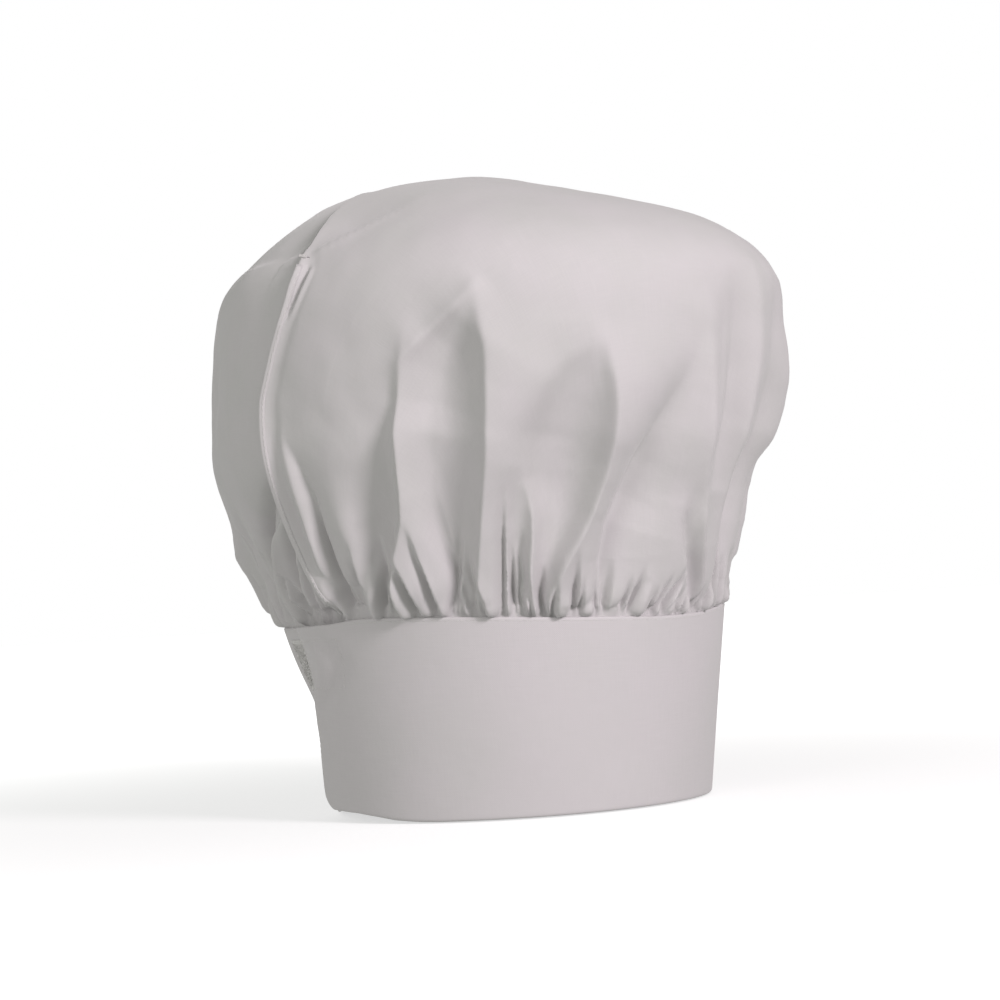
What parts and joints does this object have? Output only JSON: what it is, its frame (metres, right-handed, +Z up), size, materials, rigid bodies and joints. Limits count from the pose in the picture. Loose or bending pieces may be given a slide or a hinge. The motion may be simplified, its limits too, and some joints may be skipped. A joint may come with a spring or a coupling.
{
  "type": "chef toque",
  "caption": "Chef's hat with a full gathered cloth crown, open behind, on a tall stiffened band whose ends overlap and close with a hook and loop patch.",
  "frame": {"origin": "middle of the band's lower edge, on the surface the hat stands on", "axes": "+Z up towards the top of the crown, -Y towards the front of the hat, +Y towards the closure at the back"},
  "size_m": [0.274, 0.274, 0.298],
  "materials": {
    "band_cloth": "matt woven polyester and cotton, pressed",
    "crown_cloth": "matt woven polyester and cotton",
    "interfacing": "stiff non-woven",
    "loop_tape": "soft brushed loops",
    "hook_tape": "fine moulded hooks on woven tape",
    "thread": "spun polyester thread",
    "label_tape": "smooth woven tape, blank"
  },
  "bodies": {
    "band": {"band_shell": "band_cloth", "band_stiffener": "interfacing", "band_under_end": "band_cloth", "under_end_stiffener": "interfacing", "loop_patch": "loop_tape", "loop_patch_stitching": "thread", "band_top_stitching": "thread", "crown_gathered_edge": "crown_cloth", "care_label": "label_tape", "crown_lower": "crown_cloth"},
    "closure_tab": {"band_over_end": "band_cloth", "over_end_stiffener": "interfacing", "hook_patch": "hook_tape", "hook_patch_stitching": "thread", "over_end_edge_stitching": "thread"},
    "crown": {"crown_upper": "crown_cloth", "slit_over_hem": "crown_cloth", "slit_under_hem": "crown_cloth", "slit_over_hem_stitching": "thread", "slit_under_hem_stitching": "thread", "slit_bartack": "thread"}
  },
  "joints": [
    {"name": "closure_peel", "type": "hinge", "parent": "band", "child": "closure_tab", "pos_m": [-0.0225, 0.09024, 0], "axis": [-0.0323, 0.1297, 0.991], "range_deg": [0, 60]},
    {"name": "crown_slump", "type": "slide", "parent": "band", "child": "crown", "axis": [0, 0, 1], "range_m": [-0.055, 0], "stiffness_N_per_m": 40, "springref_m": 0.03, "deforming": ["crown_lower", "slit_over_hem", "slit_under_hem", "slit_over_hem_stitching", "slit_under_hem_stitching"]}
  ]
}
